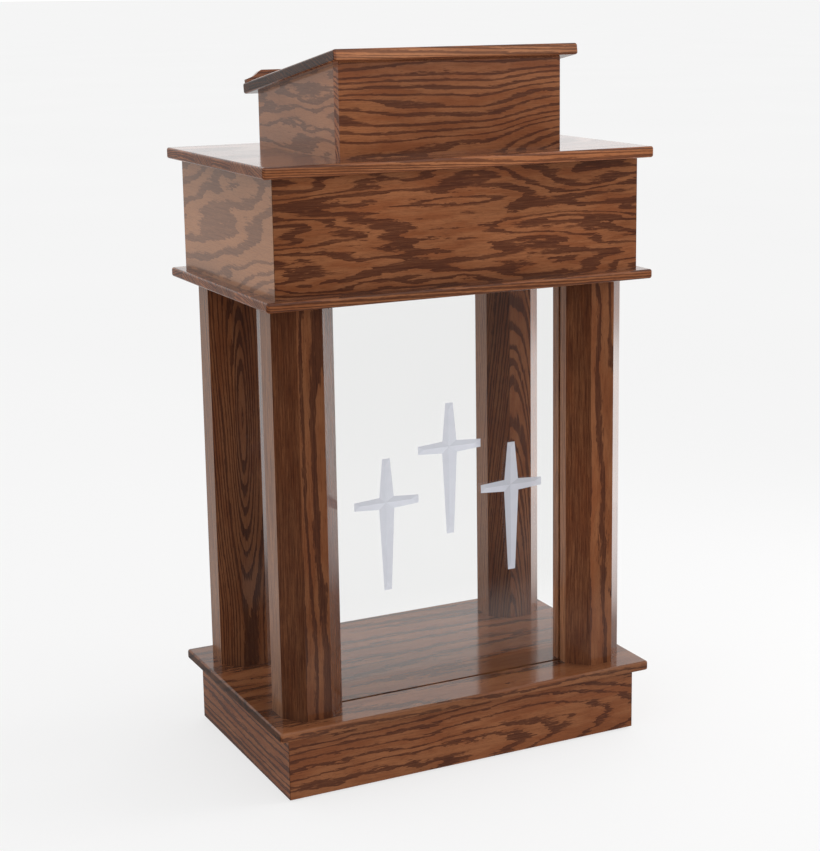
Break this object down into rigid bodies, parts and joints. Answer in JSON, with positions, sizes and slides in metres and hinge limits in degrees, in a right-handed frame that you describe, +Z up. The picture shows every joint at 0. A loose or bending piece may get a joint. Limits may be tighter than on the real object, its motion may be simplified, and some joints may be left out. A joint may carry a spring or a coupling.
{
  "type": "lectern stand",
  "caption": "Wooden lectern stand: hollow plinth, octagonal posts around a clear panel carved with crosses, open-backed cabinet, raised sloped reading board with a book stop.",
  "frame": {"origin": "on the floor, below the middle of the boards' plan", "axes": "+Z up; -Y towards the audience, whose side carries the clear panel; +Y towards the speaker, at the open back and the low edge of the reading board; +X to the audience's right"},
  "size_m": [0.708, 0.459, 1.2234],
  "materials": {
    "stained_oak": "stained red oak, satin lacquer",
    "bare_wood": "unfinished, planed",
    "dowel_wood": "unfinished beech",
    "zinc_steel": "zinc plated",
    "clear_acrylic": "clear polished sheet, the carved crosses frosted",
    "nylon": "matt"
  },
  "bodies": {
    "root": {"reading_board": "stained_oak", "book_stop": "stained_oak", "riser_front_panel": "stained_oak", "riser_left_side": "stained_oak", "riser_right_side": "stained_oak", "counter_board": "stained_oak", "cabinet_front_panel": "stained_oak", "cabinet_left_side": "stained_oak", "cabinet_right_side": "stained_oak", "cabinet_back_rail": "stained_oak", "cabinet_floor_board": "stained_oak", "post_front_left": "stained_oak", "post_front_right": "stained_oak", "post_back_left": "stained_oak", "post_back_right": "stained_oak", "deck_board": "stained_oak", "plinth_front_board": "stained_oak", "plinth_back_board": "stained_oak", "plinth_left_board": "stained_oak", "plinth_right_board": "stained_oak", "counter_cleats": "bare_wood", "cabinet_corner_blocks": "bare_wood", "deck_cleats": "bare_wood", "plinth_corner_blocks": "bare_wood", "reading_board_dowels": "dowel_wood", "cabinet_rail_dowels": "dowel_wood", "post_dowels": "dowel_wood", "book_stop_screws": "zinc_steel", "riser_screws": "zinc_steel", "counter_cleat_screws": "zinc_steel", "deck_cleat_screws": "zinc_steel", "cabinet_floor_screws": "zinc_steel", "post_top_screws": "zinc_steel", "post_lag_screws": "zinc_steel", "post_lag_washers": "zinc_steel", "cross_panel": "clear_acrylic", "floor_glides": "nylon"}
  },
  "joints": []
}
